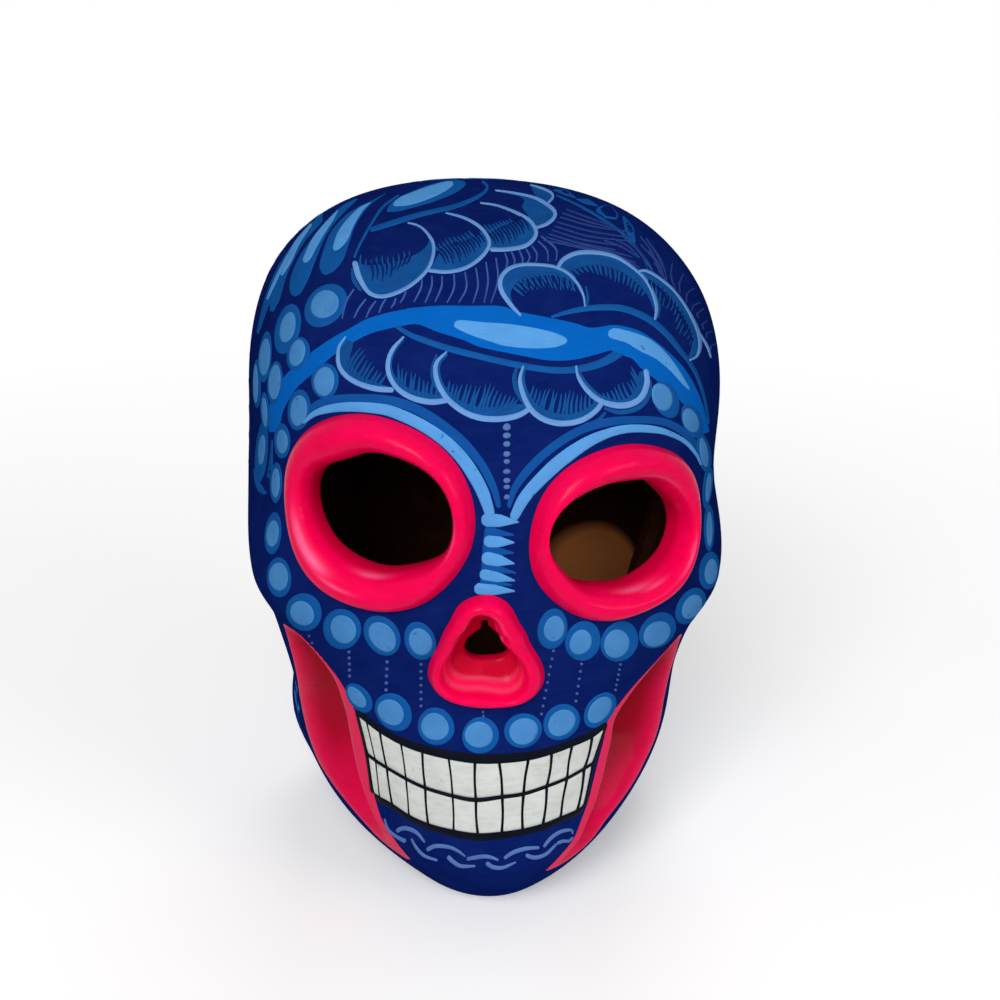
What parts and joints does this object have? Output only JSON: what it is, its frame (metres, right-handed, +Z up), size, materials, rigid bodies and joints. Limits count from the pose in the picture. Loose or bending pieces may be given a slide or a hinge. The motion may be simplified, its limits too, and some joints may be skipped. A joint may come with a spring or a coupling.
{
  "type": "sugar skull",
  "caption": "Hollow clay skull with open eye and nose sockets, recessed cheeks, painted tooth strips and a flat vented underside.",
  "frame": {"origin": "in the resting plane of the flat underside, below the middle of the whole skull's box", "axes": "+Z up, the face looks along -Y, +X to the viewer's right"},
  "size_m": [0.1332, 0.1774, 0.19],
  "materials": {
    "navy_paint": "satin navy paint on fired clay",
    "pink_paint": "glossy pink-red paint on fired clay",
    "white_paint": "matt white paint on fired clay",
    "bare_clay": "bare fired clay"
  },
  "bodies": {
    "root": {"face_shell": "navy_paint", "cranium_shell": "navy_paint", "left_eye_rim": "pink_paint", "right_eye_rim": "pink_paint", "nose_rim": "pink_paint", "left_cheek_slab": "pink_paint", "right_cheek_slab": "pink_paint", "upper_tooth_strip": "white_paint", "lower_tooth_strip": "white_paint", "seam_coil": "bare_clay", "base_slab": "bare_clay"}
  },
  "joints": []
}
